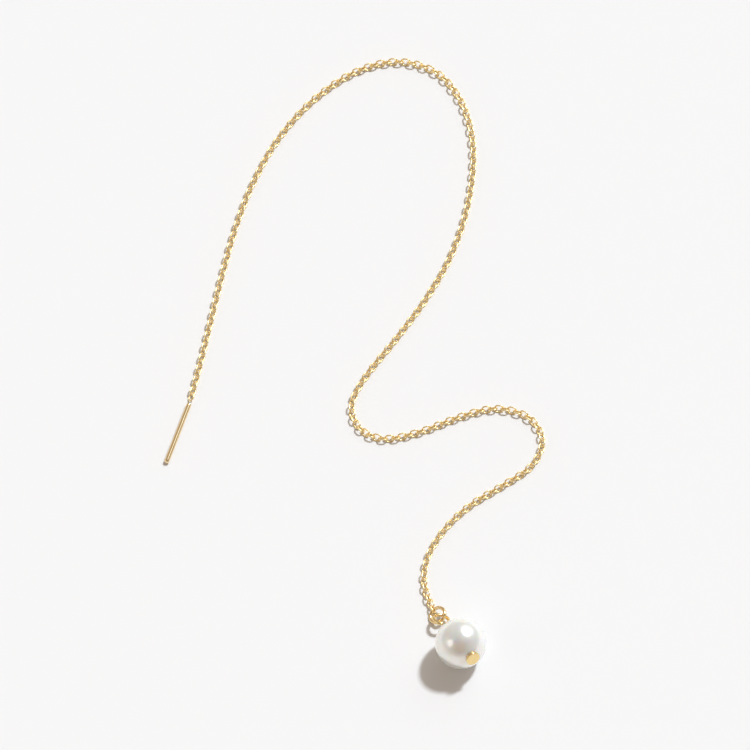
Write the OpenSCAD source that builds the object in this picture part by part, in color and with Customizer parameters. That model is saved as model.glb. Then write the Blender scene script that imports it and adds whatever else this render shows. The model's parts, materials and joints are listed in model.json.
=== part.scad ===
/* [Pearl] */
// Diameter of the pearl
pearl_d = 6; // [5:0.5:7]
// Diameter of the hole drilled through the pearl
pearl_hole_d = 0.6; // [0.5:0.05:0.8]

/* [Head pin] */
// Diameter of the head pin's wire
pin_d = 0.4; // [0.3:0.02:0.44]
// Diameter of the flat head
head_d = 1.7; // [1.2:0.1:2.4]
// Thickness of the head at its middle
head_t = 0.3; // [0.2:0.05:0.4]
// Radius of the low dome on the head's face
head_dome_r = 5; // [2:0.2:8]
// Width of the eye, outside its wire
eye_w = 2.2; // [2:0.1:2.4]
// Radius of the bend that sets the eye square over the wire
eye_bend_r = 0.4; // [0.35:0.05:0.55]
// Straight wire between the pearl and that bend
neck_l = 0.8; // [0.6:0.1:1.2]

/* [Jump ring] */
// Width of the jump ring, outside its wire
ring_w = 2.3; // [2.2:0.1:2.6]
// Diameter of the jump ring's wire
ring_wire_d = 0.4; // [0.36:0.01:0.42]
// Angle at which the jump ring lies tipped up on one side
ring_tilt = 29; // [26:1:32]

/* [Chain] */
// Diameter of the chain's wire
link_wire_d = 0.18; // [0.16:0.01:0.19]
// Width of one link, outside its wire
link_w = 0.94; // [0.92:0.01:1]
// Distance from one link to the next
link_pitch = 0.75; // [0.74:0.01:0.8]

/* [Post] */
// Diameter of the post
post_d = 0.6; // [0.5:0.05:0.7]
// Length of the post, from its tip to the eye soldered to it
post_l = 8.2; // [6:0.2:14]
// Radius of the dome on the post's tip
post_tip_r = 0.4; // [0.4:0.05:0.6]

/* [Hidden] */
$fn = 96;

// Gap between two links of the chain where they hook into each other
link_gap = 0.12;
// Gap between the last link and the jump ring
ring_gap = 0.08;
// Gap between the end of the eye's wire and the bend that the eye starts from
eye_gap = 0.08;
// Gap between the pearl and the head seated on it
seat_gap = 0.03;
// How far the eye's tip lies above the jump ring's middle
eye_above_ring = 0.1;
// How far the eye's tip reaches past the jump ring's middle
eye_past_ring = 0.05;
// Turn of the eye about the head pin's own axis
eye_turn = -25;

// The way the chain lies, from the post to the jump ring
route = [
  [-19.4, -5.0], [-18.1, 0.5], [-16.9, 6.0], [-15.6, 12.0], [-14.1, 18.0], [-12.1, 24.0],
  [-9.1, 30.0], [-5.0, 35.2], [0.0, 39.0], [5.0, 40.4], [9.5, 39.0], [12.3, 35.5],
  [13.7, 31.0], [13.9, 26.0], [13.0, 20.0], [11.1, 14.2], [8.4, 9.0], [5.1, 4.0],
  [1.9, -0.4], [0.2, -3.3], [-0.4, -5.6], [0.3, -7.8], [2.0, -9.2], [4.4, -9.5],
  [8.0, -8.5], [12.0, -6.8], [15.5, -5.7], [18.2, -5.8], [20.5, -6.9], [21.8, -9.0],
  [21.7, -11.3], [20.2, -13.6], [17.0, -15.9], [13.5, -18.3], [10.6, -21.3], [8.7, -24.6],
  [8.1, -27.4], [8.3, -29.6], [9.1, -31.9]
];
// Steps between two points of the route
route_steps = 12;
// Ways that the post, the jump ring and the head pin point, seen from above
post_heading = 71;
ring_heading = 274;
pin_heading = 299;

// A smooth curve through the route: the place at share t of the way from point i to the next
function before(i) = i > 0 ? route[i - 1] : 2 * route[0] - route[1];
function after(i) = i + 2 < len(route) ? route[i + 2] : 2 * route[i + 1] - route[i];
function curve(i, t) =
  let (a = before(i), b = route[i], c = route[i + 1], d = after(i))
  (2 * b + (c - a) * t + (2 * a - 5 * b + 4 * c - d) * t * t + (3 * b - a - 3 * c + d) * t * t * t) / 2;

path = [
  for (i = [0:len(route) - 2]) for (k = [0:route_steps - 1]) curve(i, k / route_steps),
  route[len(route) - 1]
];
// Length of the path up to each of its points, then that length beside each x and each y
reach = [
  for (i = 0, s = 0; i < len(path); s = s + norm(path[min(i + 1, len(path) - 1)] - path[i]), i = i + 1) s
];
path_x = [for (i = [0:len(path) - 1]) [reach[i], path[i].x]];
path_y = [for (i = [0:len(path) - 1]) [reach[i], path[i].y]];
path_l = reach[len(path) - 1];

// The place on the path at a distance s from its start, and the way it runs there
function place(s) = [lookup(s, path_x), lookup(s, path_y)];
function heading(s) =
  let (step = place(min(s + 0.1, path_l)) - place(max(s - 0.1, 0)))
  atan2(step.y, step.x);
function along(angle) = [cos(angle), sin(angle)];

// Links: the last one lies at the end of the path, and the post's eye holds the first one
link_l = link_pitch + 2 * link_wire_d + link_gap;
link_r = (link_w - link_wire_d) / 2;
eye_to_link = link_r - link_wire_d - link_gap + (link_l - link_wire_d) / 2;
last = floor((path_l - eye_to_link) / link_pitch);
half = round(last / 2);
function link_at(i) = path_l - (last - i) * link_pitch;

// Links lean to the left and right in turn, and the last few twist until the last one stands
// square to the jump ring
link_lean = 45;
twist_links = 8;
function lean(i) = link_lean + (90 - ring_tilt - link_lean) * max(0, 1 - (last - i) / twist_links);
function roll(i) = (last - i) % 2 == 0 ? -lean(i) : 90 - lean(i);
function axis_h(i) = link_r * max(sin(lean(i)), cos(lean(i))) + link_wire_d / 2;

// Jump ring: its low side touches the surface, and it passes through the last link
ring_r = (ring_w - ring_wire_d) / 2;
ring_rise = ring_r * sin(ring_tilt);
ring_h = ring_rise + ring_wire_d / 2;
hook = place(path_l) + (link_l / 2 - link_wire_d - ring_gap - ring_wire_d / 2) * along(heading(path_l));
hook_angle = 180 - asin((axis_h(last) - ring_h) / ring_rise);
ring_at = hook - ring_r * (cos(hook_angle) * along(ring_heading)
  + sin(hook_angle) * cos(ring_tilt) * along(ring_heading + 90));

// Head pin: its eye reaches through the jump ring, and its wire rises to the pearl's middle
eye_r = (eye_w - pin_d) / 2;
eye_drop = sqrt(eye_r * eye_r + 2 * eye_r * eye_bend_r);
eye_tip_h = ring_h + eye_above_ring;
pin_reach = pearl_d / 2 + neck_l + eye_drop + eye_r;
pin_rise = asin((pearl_d / 2 - eye_tip_h) / pin_reach);
pearl_at = ring_at + (eye_past_ring + pin_reach * cos(pin_rise)) * along(pin_heading);

module bend(r, wire_d, angle) {
  rotate_extrude(angle = angle)
    translate([r, 0])
      circle(d = wire_d);
}

module link() {
  straight = link_l - link_w;
  for (end = [0, 1])
    mirror([end, 0, 0])
      translate([straight / 2, 0, 0])
        rotate([0, 0, -90])
          bend(link_r, link_wire_d, 180);
  for (side = [-link_r, link_r])
    translate([-straight / 2, side, 0])
      rotate([0, 90, 0])
        cylinder(d = link_wire_d, h = straight);
}

module chain(first, end) {
  color("gold")
    for (i = [first:end])
      translate([place(link_at(i)).x, place(link_at(i)).y, axis_h(i)])
        rotate([0, 0, heading(link_at(i))])
          rotate([roll(i), 0, 0])
            link();
}

// A bar up the z axis with a domed tip at its foot
module domed_bar(d, length, dome_r) {
  dome_h = dome_r - sqrt(dome_r * dome_r - d * d / 4);
  intersection() {
    translate([0, 0, dome_r])
      sphere(r = dome_r);
    cylinder(d = 2 * d, h = dome_h);
  }
  translate([0, 0, dome_h])
    cylinder(d = d, h = length - dome_h);
}

module post() {
  eye_at = place(link_at(0) - eye_to_link);
  color("gold")
    translate([eye_at.x, eye_at.y, 0])
      rotate([0, 0, post_heading]) {
        translate([-link_r - post_l, 0, post_d / 2])
          rotate([0, 90, 0])
            domed_bar(post_d, post_l, post_tip_r);
        translate([0, 0, axis_h(-1)])
          rotate([roll(-1), 0, 0])
            bend(link_r, link_wire_d, 360);
      }
}

module jump_ring() {
  color("gold")
    translate([ring_at.x, ring_at.y, ring_h])
      rotate([0, 0, ring_heading])
        rotate([ring_tilt, 0, 0])
          bend(ring_r, ring_wire_d, 360);
}

// Puts what is drawn round the z axis, with the head up, on the head pin's own axis
module on_pin() {
  translate([pearl_at.x, pearl_at.y, pearl_d / 2])
    rotate([0, 90 - pin_rise, pin_heading])
      children();
}

// The eye below the end of the wire: a short bend to one side, then nearly a whole turn back.
// The turn stops where the outer edge of its end is still clear of the bend.
module eye() {
  apart = eye_r + eye_bend_r;
  outer = eye_r + pin_d / 2;
  clear = eye_bend_r + pin_d / 2 + eye_gap;
  lean_out = acos(eye_bend_r / apart);
  sweep = 360 - acos((outer * outer + apart * apart - clear * clear) / (2 * outer * apart));
  rotate([90, 0, 90]) {
    translate([eye_bend_r, 0, 0])
      rotate([0, 0, 180])
        bend(eye_bend_r, pin_d, lean_out);
    translate([0, -eye_drop, 0])
      rotate([0, 0, lean_out])
        mirror([0, 1, 0])
          bend(eye_r, pin_d, sweep);
  }
}

module head_pin() {
  color("gold")
    on_pin() {
      translate([0, 0, pearl_d / 2 + seat_gap])
        intersection() {
          cylinder(d = head_d, h = head_t);
          translate([0, 0, head_t - head_dome_r])
            sphere(r = head_dome_r);
        }
      translate([0, 0, -pearl_d / 2 - neck_l])
        cylinder(d = pin_d, h = pearl_d + neck_l + seat_gap + head_t / 2);
      translate([0, 0, -pearl_d / 2 - neck_l])
        rotate([0, 0, eye_turn])
          eye();
    }
}

module pearl() {
  color("ivory")
    on_pin()
      difference() {
        sphere(d = pearl_d);
        cylinder(d = pearl_hole_d, h = 2 * pearl_d, center = true);
      }
}

post();
chain(0, half - 1);  // chain_post_half
chain(half, last);  // chain_pearl_half
jump_ring();
head_pin();
pearl();
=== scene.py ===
import json
import math

import bmesh
import bpy
import numpy as np
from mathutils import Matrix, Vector


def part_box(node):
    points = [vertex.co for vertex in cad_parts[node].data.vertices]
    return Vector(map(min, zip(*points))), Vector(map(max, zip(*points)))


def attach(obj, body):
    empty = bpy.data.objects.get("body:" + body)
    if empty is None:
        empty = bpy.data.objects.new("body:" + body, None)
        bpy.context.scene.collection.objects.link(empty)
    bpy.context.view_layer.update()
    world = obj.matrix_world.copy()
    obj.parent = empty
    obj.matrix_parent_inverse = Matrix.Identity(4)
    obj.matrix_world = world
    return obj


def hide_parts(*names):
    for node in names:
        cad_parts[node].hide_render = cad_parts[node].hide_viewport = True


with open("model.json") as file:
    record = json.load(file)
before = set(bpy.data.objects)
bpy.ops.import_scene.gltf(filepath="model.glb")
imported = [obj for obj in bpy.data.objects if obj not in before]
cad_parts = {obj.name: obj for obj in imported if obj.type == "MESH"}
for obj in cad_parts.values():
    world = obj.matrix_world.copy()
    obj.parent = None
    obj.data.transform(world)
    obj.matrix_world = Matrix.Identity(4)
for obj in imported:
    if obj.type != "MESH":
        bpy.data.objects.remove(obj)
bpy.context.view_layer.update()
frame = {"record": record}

# View: the earring is looked at from above its pearl and from well away, through a long lens. A
# soft key light stands behind it on the right, and a weak broad one on the left.
MM = 0.001
frame_width = 87.95 * MM
view_height = math.radians(62.8)
view_middle = Vector((2.34, -0.98, 0)) * MM
view_away = 3.0
camera_data = bpy.data.cameras.new("long_lens")
camera_data.sensor_width = 36
camera_data.lens = camera_data.sensor_width * view_away / frame_width
camera = bpy.data.objects.new("camera", camera_data)
to_camera = Vector((0, -math.cos(view_height), math.sin(view_height)))
camera.location = view_middle + view_away * to_camera
camera.rotation_euler = (math.pi / 2 - view_height, 0, 0)
bpy.context.scene.collection.objects.link(camera)
bpy.context.scene.camera = camera
bpy.context.scene.view_settings.view_transform = "Standard"
lamp_away = 0.5


def lamp(name, towards, colour, energy, angle):
    """A far lamp in a given direction, which looks a given number of degrees wide."""
    data = bpy.data.lights.new(name, "SUN")
    data.color = colour
    data.energy = energy
    data.angle = math.radians(angle)
    light = bpy.data.objects.new(name, data)
    light.location = Vector(towards).normalized() * lamp_away
    light.rotation_euler = Vector(towards).to_track_quat("Z", "Y").to_euler()
    bpy.context.scene.collection.objects.link(light)


lamp("key_light", towards=(0.4075, 0.4276, 0.807), colour=(0.886, 0.943, 1.0), energy=2.81, angle=7)
lamp("left_light", towards=(-0.736, -0.275, 0.616), colour=(1.0, 1.0, 1.0), energy=0.14, angle=30)


# Room: plain walls, paler near the table than overhead. The gold and the pearl mirror a lit wall
# on the left, a warm corner behind it, a dim front, and a window behind on the right.
class Tone:
    """A value that varies over a surface, which sums and products can be made of."""

    def __init__(self, finish, socket):
        self.finish = finish
        self.socket = socket

    def maths(self, operation, first, second):
        return self.finish.node("ShaderNodeMath", {"operation": operation}, {0: first, 1: second})

    def __add__(self, other):
        return self.maths("ADD", self, other)

    def __radd__(self, other):
        return self.maths("ADD", other, self)

    def __sub__(self, other):
        return self.maths("SUBTRACT", self, other)

    def __rsub__(self, other):
        return self.maths("SUBTRACT", other, self)

    def __mul__(self, other):
        return self.maths("MULTIPLY", self, other)

    def __rmul__(self, other):
        return self.maths("MULTIPLY", other, self)


class Finish:
    """The nodes of one finish, of a surface or of the room's light."""

    def __init__(self, owner):
        owner.use_nodes = True
        self.owner = owner
        self.tree = owner.node_tree
        self.tree.nodes.clear()

    def node(self, kind, settings, sockets, give=0):
        """Adds a node of one kind, and gives one of its outputs."""
        made = self.tree.nodes.new(kind)
        for setting, value in settings.items():
            setattr(made, setting, value)
        for key, value in sockets.items():
            if isinstance(value, Tone):
                self.tree.links.new(value.socket, made.inputs[key])
            else:
                made.inputs[key].default_value = value
        return Tone(self, made.outputs[give]) if len(made.outputs) else made

    def colours(self, share, *stops):
        """Colours that a share between 0 and 1 runs through."""
        made = self.node("ShaderNodeValToRGB", {}, {"Fac": share})
        ramp = made.socket.node.color_ramp
        while len(ramp.elements) < len(stops):
            ramp.elements.new(0.5)
        for element, (place, colour) in zip(ramp.elements, stops):
            element.position = place
            element.color = (*colour, 1)
        return made

    def blend(self, share, first, second):
        """The first colour where the share is 0, and the second where it is 1."""
        sockets = {0: share, 6: first, 7: second}
        return self.node("ShaderNodeMix", {"data_type": "RGBA"}, sockets, give=2)

    def towards(self, vector, way):
        """How far a vector points a given way."""
        sockets = {0: vector, 1: way}
        return self.node("ShaderNodeVectorMath", {"operation": "DOT_PRODUCT"}, sockets, give="Value")

    def speckle(self, size, detail):
        """Soft spots of a given size, spread through the piece."""
        place = self.node("ShaderNodeTexCoord", {}, {}, give="Object")
        return self.node("ShaderNodeTexNoise", {}, {"Vector": place, "Scale": 1 / size, "Detail": detail})

    def surface(self, sockets):
        """Ends the finish of a surface, and gives its material."""
        shader = self.node("ShaderNodeBsdfPrincipled", {}, sockets)
        self.node("ShaderNodeOutputMaterial", {}, {"Surface": shader})
        return self.owner


room = Finish(bpy.data.worlds.new("room"))
bpy.context.scene.world = room.owner
direction = room.node("ShaderNodeTexCoord", {}, {}, give="Generated")


def patch(rest, way, edge, full, colour):
    """A patch of the room round one direction, which fades into the rest between two cosines."""
    share = room.colours(room.towards(direction, way), (edge, (0, 0, 0)), (full, (1, 1, 1)))
    return room.blend(share, rest, (*colour, 1))


walls = room.colours(
    room.towards(direction, (0, 0, 1)),
    (0.0, (0.715, 0.67, 0.635)), (0.5, (0.505, 0.456, 0.415)), (1.0, (0.385, 0.365, 0.335)),
)
with_wall = patch(walls, (-0.93, -0.20, 0.30), edge=0.86, full=0.97, colour=(0.81, 0.76, 0.69))
with_corner = patch(with_wall, (-0.59, 0.61, 0.53), edge=0.86, full=0.95, colour=(0.62, 0.50, 0.40))
with_front = patch(with_corner, (-0.03, -0.66, 0.75), edge=0.79, full=0.925, colour=(0.40, 0.25, 0.14))
with_window = patch(with_front, (0.40, 0.61, 0.685), edge=0.88, full=0.95, colour=(1.4, 1.4, 1.4))
background = room.node("ShaderNodeBackground", {}, {"Color": with_window, "Strength": 0.825})
room.node("ShaderNodeOutputWorld", {}, {"Surface": background})

# Table: a broad board with a matt and nearly white face. The earring lies loose on it, and it is
# no part of the earring.
table_width = 6
bpy.ops.mesh.primitive_plane_add(size=table_width)
table = bpy.context.object
table.name = "table_top"
pale_face = Finish(bpy.data.materials.new("pale_table"))
table.data.materials.append(
    pale_face.surface({"Base Color": (0.80, 0.80, 0.80, 1), "Roughness": 0.7})
)


# Post: a plain round bar of gold-plated silver, domed at its free tip so that it goes through the
# ear easily. The chain's first link hangs in a small eye of chain wire soldered to its other end.
def drawn(path, square, radii, sides, loop=False, tangent=None):
    """Rings of a round wire drawn along a path that stays square to one direction."""
    path = np.array(path, float)
    square = np.array(square, float) / np.linalg.norm(square)
    if tangent is not None:
        along = np.broadcast_to(np.array(tangent, float), path.shape)
    elif loop:
        along = np.roll(path, -1, 0) - np.roll(path, 1, 0)
    else:
        along = np.gradient(path, axis=0)
    along = along / np.linalg.norm(along, axis=1)[:, None]
    across = np.cross(along, square)
    turn = np.linspace(0, 2 * np.pi, sides, endpoint=False)[None, :, None]
    radii = np.broadcast_to(np.array(radii, float), len(path))[:, None, None]
    return path[:, None] + radii * (np.cos(turn) * square + np.sin(turn) * across[:, None])


def skinned(name, shells, finish, slot, *nodes):
    """One piece from shells of rings: an open shell is capped, a looped one joins its own start."""
    piece_mesh = bmesh.new()
    for rings, loop in shells:
        count, sides = rings.shape[:2]
        verts = [[piece_mesh.verts.new(Vector(p) * MM) for p in ring] for ring in rings]
        for i in range(count if loop else count - 1):
            one, two = verts[i], verts[(i + 1) % count]
            for k in range(sides):
                piece_mesh.faces.new((one[k], one[(k + 1) % sides], two[(k + 1) % sides], two[k]))
        if not loop:
            for tip_ring in (0, count - 1):
                tip = piece_mesh.verts.new(Vector(rings[tip_ring].mean(0)) * MM)
                for k in range(sides):
                    piece_mesh.faces.new((tip, verts[tip_ring][k], verts[tip_ring][(k + 1) % sides]))
    bmesh.ops.recalc_face_normals(piece_mesh, faces=piece_mesh.faces)
    data = bpy.data.meshes.new(name)
    piece_mesh.to_mesh(data)
    piece_mesh.free()
    data.shade_smooth()
    data.set_sharp_from_angle(angle=sharp_from)
    piece = bpy.data.objects.new(name, data)
    bpy.context.scene.collection.objects.link(piece)
    data.materials.append(finish)
    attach(piece, "root")
    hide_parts(*nodes)
    return piece


def gold_plate(name, polish, pale, deep):
    """Gold plate over silver: its tone varies a little with its thickness, its polish with wear."""
    plate = Finish(bpy.data.materials.new(name))
    cloud = plate.speckle(size=0.6 * MM, detail=3.0)
    grain = plate.speckle(size=0.05 * MM, detail=2.0)
    wear = 0.1 * (grain - 0.5)
    relief = {"Strength": 0.08, "Distance": 0.004 * MM, "Height": grain}
    return plate.surface({
        "Base Color": plate.colours(cloud, (0.3, deep), (0.7, pale)),
        "Metallic": 1.0,
        "Roughness": polish + wear,
        "Normal": plate.node("ShaderNodeBump", {}, relief),
    })


sharp_from = math.radians(40)
up = np.array([0, 0, 1])
link_wire = 0.18
link_width = 0.94
link_r = (link_width - link_wire) / 2
link_lean = math.pi / 4
wire_sides = 16
mount = frame["record"]["mounts"][0]
bar_r = mount["dims"]["r_mm"]
bar_l = mount["dims"]["length_mm"]
bar_middle = np.array(mount["pos_m"]) / MM
to_tip = np.array(mount["axis"])
tip_dome_r = 0.4
tip_h = tip_dome_r - math.sqrt(tip_dome_r ** 2 - bar_r ** 2)
tip_edge = 0.03
cut_edge = 0.05
over_tip = np.linspace(0.04, 0.97, 14) * math.asin(bar_r / tip_dome_r)
domed_tip = [
    (bar_l / 2 + tip_h - tip_dome_r * (1 - math.cos(a)), tip_dome_r * math.sin(a)) for a in over_tip
]
plain_bar = [(z, bar_r) for z in np.linspace(bar_l / 2 - tip_edge, cut_edge - bar_l / 2, 30)]
cut_end = [
    (cut_edge * (1 - math.sin(a)) - bar_l / 2, bar_r - cut_edge * (1 - math.cos(a)))
    for a in np.radians([15, 30, 45, 60, 75, 90])
]
bar_line = domed_tip + plain_bar + cut_end
bar = drawn(
    [bar_middle + z * to_tip for z, r in bar_line], up, [r for z, r in bar_line],
    sides=40, tangent=-to_tip,
)
post_eye_middle = bar_middle - to_tip * (bar_l / 2 + link_r)
post_eye_middle[2] = link_r * math.sin(link_lean) + link_wire / 2
post_eye_side = np.cross(up, -to_tip) * math.cos(link_lean) + up * math.sin(link_lean)
round_eye = [
    post_eye_middle + link_r * (math.cos(a) * -to_tip + math.sin(a) * post_eye_side)
    for a in np.linspace(0, 2 * math.pi, 48, endpoint=False)
]
post_eye = drawn(round_eye, np.cross(-to_tip, post_eye_side), link_wire / 2, wire_sides, loop=True)
solder_r = 0.17
solder_l = 0.12
over_solder = np.linspace(3.0, 0.1, 14)
solder = drawn(
    [bar_middle - to_tip * (bar_l / 2 + solder_l * math.cos(a)) for a in over_solder],
    up, [solder_r * math.sin(a) for a in over_solder],
    sides=24, tangent=-to_tip,
)
post_gold = gold_plate("post_gold", 0.07, pale=(0.96, 0.78, 0.49), deep=(0.92, 0.72, 0.42))
post_bar = skinned("post_bar", [(bar, False)], post_gold, "gold", "post")
for shell, loop in ((post_eye, True), (solder, False)):
    added = skinned("post_part", [(shell, loop)], post_gold, "gold", "post")
    union = post_bar.modifiers.new("soldered", "BOOLEAN")
    union.object = added
    union.solver = "EXACT"
    with bpy.context.temp_override(object=post_bar, active_object=post_bar):
        bpy.ops.object.modifier_apply(modifier=union.name)
    bpy.data.objects.remove(added)

# Chain: fine cable chain of gold-plated silver. Each link is round wire bent to an oval and
# soldered shut on one side, and each stands at right angles to its neighbours, which it holds.
route = np.array([
    (-19.4, -5.0), (-18.1, 0.5), (-16.9, 6.0), (-15.6, 12.0), (-14.1, 18.0), (-12.1, 24.0),
    (-9.1, 30.0), (-5.0, 35.2), (0.0, 39.0), (5.0, 40.4), (9.5, 39.0), (12.3, 35.5),
    (13.7, 31.0), (13.9, 26.0), (13.0, 20.0), (11.1, 14.2), (8.4, 9.0), (5.1, 4.0),
    (1.9, -0.4), (0.2, -3.3), (-0.4, -5.6), (0.3, -7.8), (2.0, -9.2), (4.4, -9.5),
    (8.0, -8.5), (12.0, -6.8), (15.5, -5.7), (18.2, -5.8), (20.5, -6.9), (21.8, -9.0),
    (21.7, -11.3), (20.2, -13.6), (17.0, -15.9), (13.5, -18.3), (10.6, -21.3), (8.7, -24.6),
    (8.1, -27.4), (8.3, -29.6), (9.1, -31.9),
])
route_steps = 12
before = np.vstack([2 * route[0] - route[1], route[:-2]])[:, None]
after = np.vstack([route[2:], 2 * route[-1] - route[-2]])[:, None]
start, end = route[:-1, None], route[1:, None]
t = (np.arange(route_steps) / route_steps)[:, None]
way = (
    2 * start + (end - before) * t + (2 * before - 5 * start + 4 * end - after) * t ** 2
    + (3 * start - before - 3 * end + after) * t ** 3
) / 2
way = np.vstack([way.reshape(-1, 2), route[-1:]])
reach = np.concatenate([[0], np.cumsum(np.linalg.norm(np.diff(way, axis=0), axis=1))])


def place(s):
    return np.array([np.interp(s, reach, way[:, 0]), np.interp(s, reach, way[:, 1])])


link_pitch = 0.75
link_gap = 0.12
link_l = link_pitch + 2 * link_wire + link_gap
eye_to_link = link_r - link_wire - link_gap + (link_l - link_wire) / 2
last = math.floor((reach[-1] - eye_to_link) / link_pitch)
half = round(last / 2)
ring_tilt = math.radians(29)
twist_links = 8
side_l = (link_l - link_width) / 2
bow = np.linspace(-math.pi / 2, math.pi / 2, 17)
oval = np.vstack([
    np.column_stack([side_l + link_r * np.cos(bow), link_r * np.sin(bow)]),
    np.column_stack([np.linspace(0.6, -0.6, 5) * side_l, np.full(5, link_r)]),
    np.column_stack([-side_l - link_r * np.cos(bow), -link_r * np.sin(bow)]),
    [(-0.6 * side_l, -link_r), (0.6 * side_l, -link_r)],
])
seam_w = 0.05
seam_swell = 0.05
seam = np.exp(-((oval[:, 0] / seam_w) ** 2)) * (oval[:, 1] > 0.9 * link_r)
link_radii = link_wire / 2 * (1 + seam_swell * seam)
link = drawn(np.column_stack([oval, 0 * seam]), up, link_radii, wire_sides, loop=True)
loose_roll = 1.5
heading_step = 0.1
hands = np.random.default_rng(4)


def laid_links(first, stop):
    """Links where they lie along the route, each rolled a little and turned either way round."""
    shells = []
    for i in range(first, stop):
        s = reach[-1] - (last - i) * link_pitch
        step = place(min(s + heading_step, reach[-1])) - place(max(s - heading_step, 0))
        run = np.array([*step, 0]) / np.linalg.norm(step)
        twist = max(0, 1 - (last - i) / twist_links)
        lean = link_lean + (math.pi / 2 - ring_tilt - link_lean) * twist
        height = link_r * max(math.sin(lean), math.cos(lean)) + link_wire / 2
        roll = -lean if (last - i) % 2 == 0 else math.pi / 2 - lean
        roll += math.radians(hands.uniform(-loose_roll, loose_roll))
        wide = np.cross(up, run) * math.cos(roll) + up * math.sin(roll)
        turned = hands.choice([-1, 1])
        axes = np.array([turned * run, turned * wide, np.cross(run, wide)])
        shells.append((link @ axes + [*place(s), height], True))
    return shells


chain_gold = gold_plate("chain_gold", 0.34, pale=(0.98, 0.785, 0.42), deep=(0.94, 0.725, 0.35))
skinned("chain_post_links", laid_links(0, half), chain_gold, "gold", "chain_post_half")
skinned("chain_pearl_links", laid_links(half, last + 1), chain_gold, "gold", "chain_pearl_half")

# Jump ring: a round ring of gold-plated silver wire, cut from a coil and closed so that its two
# cut ends meet. It hooks the chain's last link to the head pin's eye, and lies tipped up.
ring_width = 2.3
ring_wire = 0.4
ring_r = (ring_width - ring_wire) / 2
ring_heading = math.radians(274)
ring_middle = np.array(sum(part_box("jump_ring"), Vector())) / 2 / MM
ring_run = np.array([math.cos(ring_heading), math.sin(ring_heading), 0])
ring_wide = np.cross(up, ring_run) * math.cos(ring_tilt) + up * math.sin(ring_tilt)
cut_at = math.radians(60)
cut_w = 0.02
cut_depth = 0.1
near_cut = np.array([-2.0, -1.0, -0.5, 0.0, 0.5, 1.0, 2.0]) * cut_w
bends = np.concatenate([near_cut, np.linspace(0.05, 2 * math.pi - 0.05, 96)])
cut = np.exp(-((bends / (0.6 * cut_w)) ** 2))
round_ring = [
    ring_middle + ring_r * (math.cos(a + cut_at) * ring_run + math.sin(a + cut_at) * ring_wide)
    for a in bends
]
ring = drawn(
    round_ring, np.cross(ring_run, ring_wide), ring_wire / 2 * (1 - cut_depth * cut),
    sides=28, loop=True,
)
ring_gold = gold_plate("ring_gold", 0.18, pale=(0.97, 0.75, 0.42), deep=(0.91, 0.67, 0.34))
skinned("jump_ring_wire", [(ring, True)], ring_gold, "gold", "jump_ring")

# Head pin: gold-plated wire through the pearl, upset to a low domed head at one end. Past the
# pearl it runs straight, bends to one side and turns back nearly all the way round as an eye.
pearl_r = 3.0
pin_r = 0.2
head_r = 0.85
head_t = 0.3
head_dome_r = 5.0
head_edge = 0.04
seat_gap = 0.03
neck_l = 0.8
eye_r = 0.9
eye_bend_r = 0.4
eye_gap = 0.08
eye_above_ring = 0.1
eye_turn = math.radians(-25)
pin_heading = math.radians(299)
eye_drop = math.sqrt(eye_r ** 2 + 2 * eye_r * eye_bend_r)
eye_tip_h = ring_middle[2] + eye_above_ring
pin_rise = math.asin((pearl_r - eye_tip_h) / (pearl_r + neck_l + eye_drop + eye_r))
pearl_middle = np.array(sum(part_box("pearl"), Vector())) / 2 / MM
pin_level = np.array([math.cos(pin_heading), math.sin(pin_heading), 0])
pin_up = pin_level * math.cos(pin_rise) + up * math.sin(pin_rise)
pin_down = pin_level * math.sin(pin_rise) - up * math.cos(pin_rise)
pin_side = np.cross(up, pin_level)
eye_face = pin_down * math.cos(eye_turn) + pin_side * math.sin(eye_turn)
eye_side = pin_side * math.cos(eye_turn) - pin_down * math.sin(eye_turn)
head_z = pearl_r + seat_gap
rim_z = head_z + head_t - head_dome_r + math.sqrt(head_dome_r ** 2 - head_r ** 2)
over_head = np.linspace(0.02, 0.96, 16) * math.asin(head_r / head_dome_r)
head_face = [
    (head_z + head_t - head_dome_r * (1 - math.cos(a)), head_dome_r * math.sin(a)) for a in over_head
]
head_rim = [
    (rim_z - head_edge * (1 - math.cos(a)), head_r - head_edge * (1 - math.sin(a)))
    for a in np.radians([30, 60, 90])
]
head_back = [
    (head_z + head_edge * (1 - math.sin(a)), head_r - head_edge * (1 - math.cos(a)))
    for a in np.radians([0, 30, 60, 90])
]
head_back += [(head_z, r) for r in (0.6, 0.4, 0.26)] + [(head_z - 0.02, pin_r + 0.015)]
straight = [(z, pin_r) for z in np.linspace(head_z - 0.06, -pearl_r - neck_l + 0.02, 40)]
pin_line = head_face + head_rim + head_back + straight
apart = eye_r + eye_bend_r
outer = eye_r + pin_r
clear = eye_bend_r + pin_r + eye_gap
lean_out = math.acos(eye_bend_r / apart)
sweep = 2 * math.pi - math.acos((outer ** 2 + apart ** 2 - clear ** 2) / (2 * outer * apart))
over_bend = np.linspace(0.1, lean_out, 14)
round_pin_eye = np.linspace(lean_out, lean_out - sweep, 84)[1:]
bent = [(eye_bend_r * (1 - math.cos(a)), -eye_bend_r * math.sin(a)) for a in over_bend]
bent += [(eye_r * math.cos(a), eye_r * math.sin(a) - eye_drop) for a in round_pin_eye]
filed_end = [0.197, 0.19, 0.178, 0.155]
pin_way = [z * pin_up for z, r in pin_line]
pin_way += [x * eye_side + (y - pearl_r - neck_l) * pin_up for x, y in bent]
pin_radii = [r for z, r in pin_line] + [pin_r] * (len(bent) - len(filed_end)) + filed_end
pin_along = np.gradient(np.array(pin_way), axis=0)
pin_along[:len(pin_line)] = -pin_up
pin = drawn(np.array(pin_way) + pearl_middle, eye_face, pin_radii, sides=32, tangent=pin_along)
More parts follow.
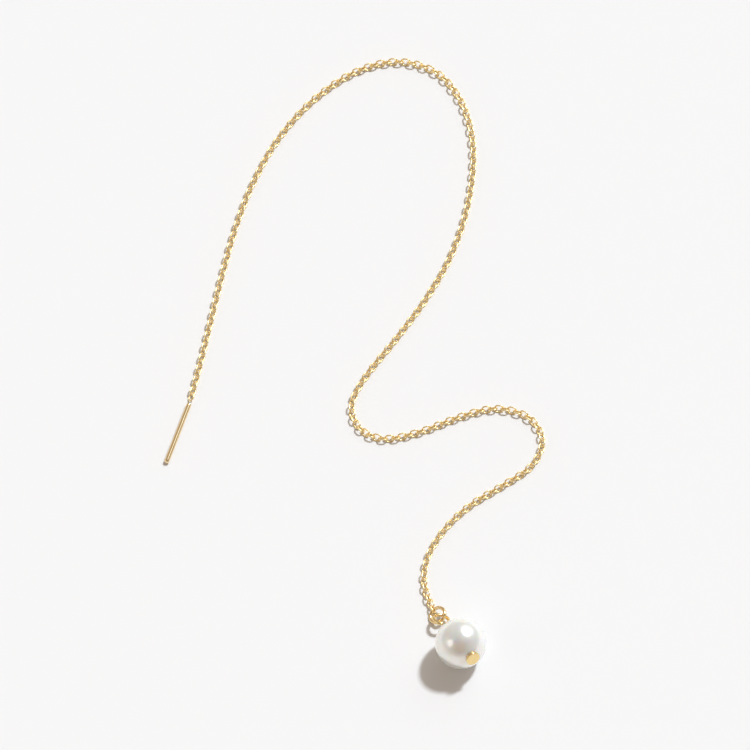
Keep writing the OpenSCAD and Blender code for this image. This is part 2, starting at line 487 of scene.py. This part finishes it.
pin_gold = gold_plate("pin_gold", 0.18, pale=(0.96, 0.75, 0.38), deep=(0.91, 0.69, 0.32))
skinned("head_pin_wire", [(pin, False)], pin_gold, "gold", "head_pin")

# Pearl: a round freshwater pearl, drilled right through. Its nacre is many thin clear layers, so
# it gleams softly from within and mirrors the room, with a faint rose and green in its grey.
hole_r = 0.3
hole_edge = 0.06
hole_a = math.asin((hole_r + hole_edge) / pearl_r)
mouth_z = pearl_r * math.cos(hole_a)
mouth_l = 0.3
outside = [
    (pearl_r * math.cos(a), pearl_r * math.sin(a)) for a in np.linspace(hole_a, math.pi - hole_a, 120)
]
mouth = [
    (mouth_z - hole_edge * (1 - math.cos(a)), hole_r + hole_edge * (1 - math.sin(a)))
    for a in np.radians([90, 60, 30])
]
far_mouth = [(-z, r) for z, r in reversed(mouth)]
bore = [(z, hole_r) for z in np.linspace(-mouth_z + mouth_l, mouth_z - mouth_l, 12)]
ball_line = outside + far_mouth + bore + mouth
ball = drawn(
    [pearl_middle + z * pin_up for z, r in ball_line], pin_side, [r for z, r in ball_line],
    sides=128, tangent=-pin_up,
)
nacre = Finish(bpy.data.materials.new("nacre"))
cloud = nacre.speckle(size=2.2 * MM, detail=2.0)
growth = nacre.speckle(size=0.35 * MM, detail=4.0)
tint = nacre.colours(
    cloud, (0.35, (0.93, 0.885, 0.84)), (0.5, (0.93, 0.905, 0.865)), (0.65, (0.90, 0.915, 0.865))
)
waves = {"Strength": 0.1, "Distance": 0.01 * MM, "Height": growth}
pearl_shell = nacre.surface({
    "Base Color": tint,
    "Metallic": 0.55,
    "Roughness": 0.23 + 0.05 * (growth - 0.5),
    "Normal": nacre.node("ShaderNodeBump", {}, waves),
    "Coat Weight": 0.4,
    "Coat Roughness": 0.15,
    "Coat IOR": 1.6,
    "Subsurface Weight": 1.0,
    "Subsurface Radius": (8.0, 5.0, 3.0),
    "Subsurface Scale": MM,
})
skinned("pearl_ball", [(ball, True)], pearl_shell, "pearl", "pearl")
